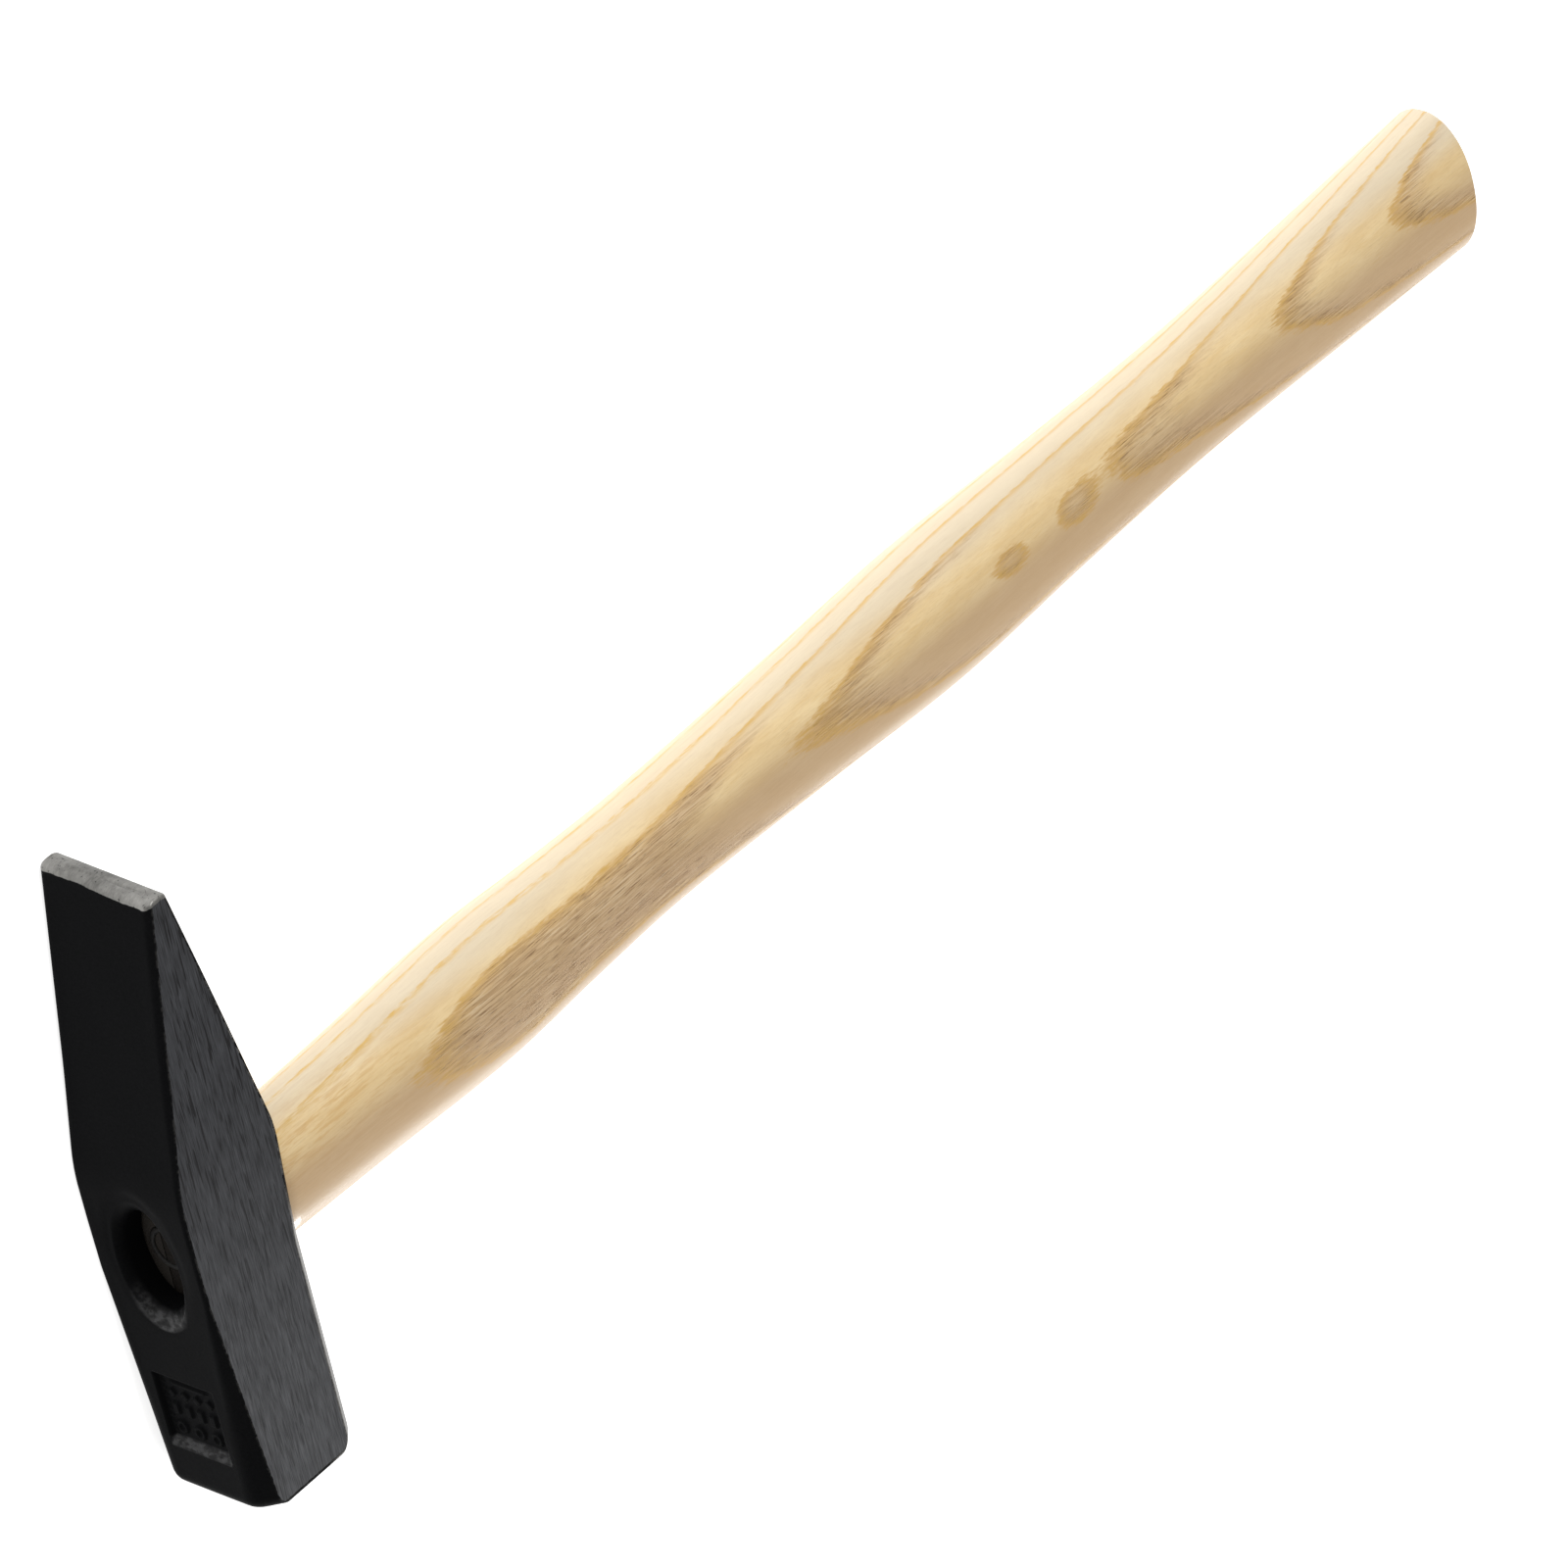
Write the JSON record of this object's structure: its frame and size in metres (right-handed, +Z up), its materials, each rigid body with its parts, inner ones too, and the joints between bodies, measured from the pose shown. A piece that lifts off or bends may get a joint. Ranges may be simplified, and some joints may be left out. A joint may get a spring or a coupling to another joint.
{
  "type": "cross-peen hammer",
  "caption": "Cross-peen bench hammer: forged steel head with a square striking face and a wedge-shaped peen, on an oval ash handle that is spread in the eye by wedges.",
  "frame": {"origin": "on the lower ground cheek, straight under the middle of the eye", "axes": "+X along the handle from the head to the butt, +Y towards the cross peen, +Z up through the upper cheek; the hammer lies on its lower cheek"},
  "size_m": [0.2808, 0.0952, 0.019],
  "materials": {
    "head_steel": "black painted forging with ground, blackened cheeks and a bare ground peen edge",
    "ash": "pale ash, lightly varnished",
    "wedge_wood": "sawn hardwood, stained dark by the head's paint",
    "wedge_steel": "turned steel, dulled by the head's paint"
  },
  "bodies": {
    "root": {"hammer_head": "head_steel", "handle": "ash", "wood_wedge": "wedge_wood", "ring_wedge": "wedge_steel"}
  },
  "joints": []
}
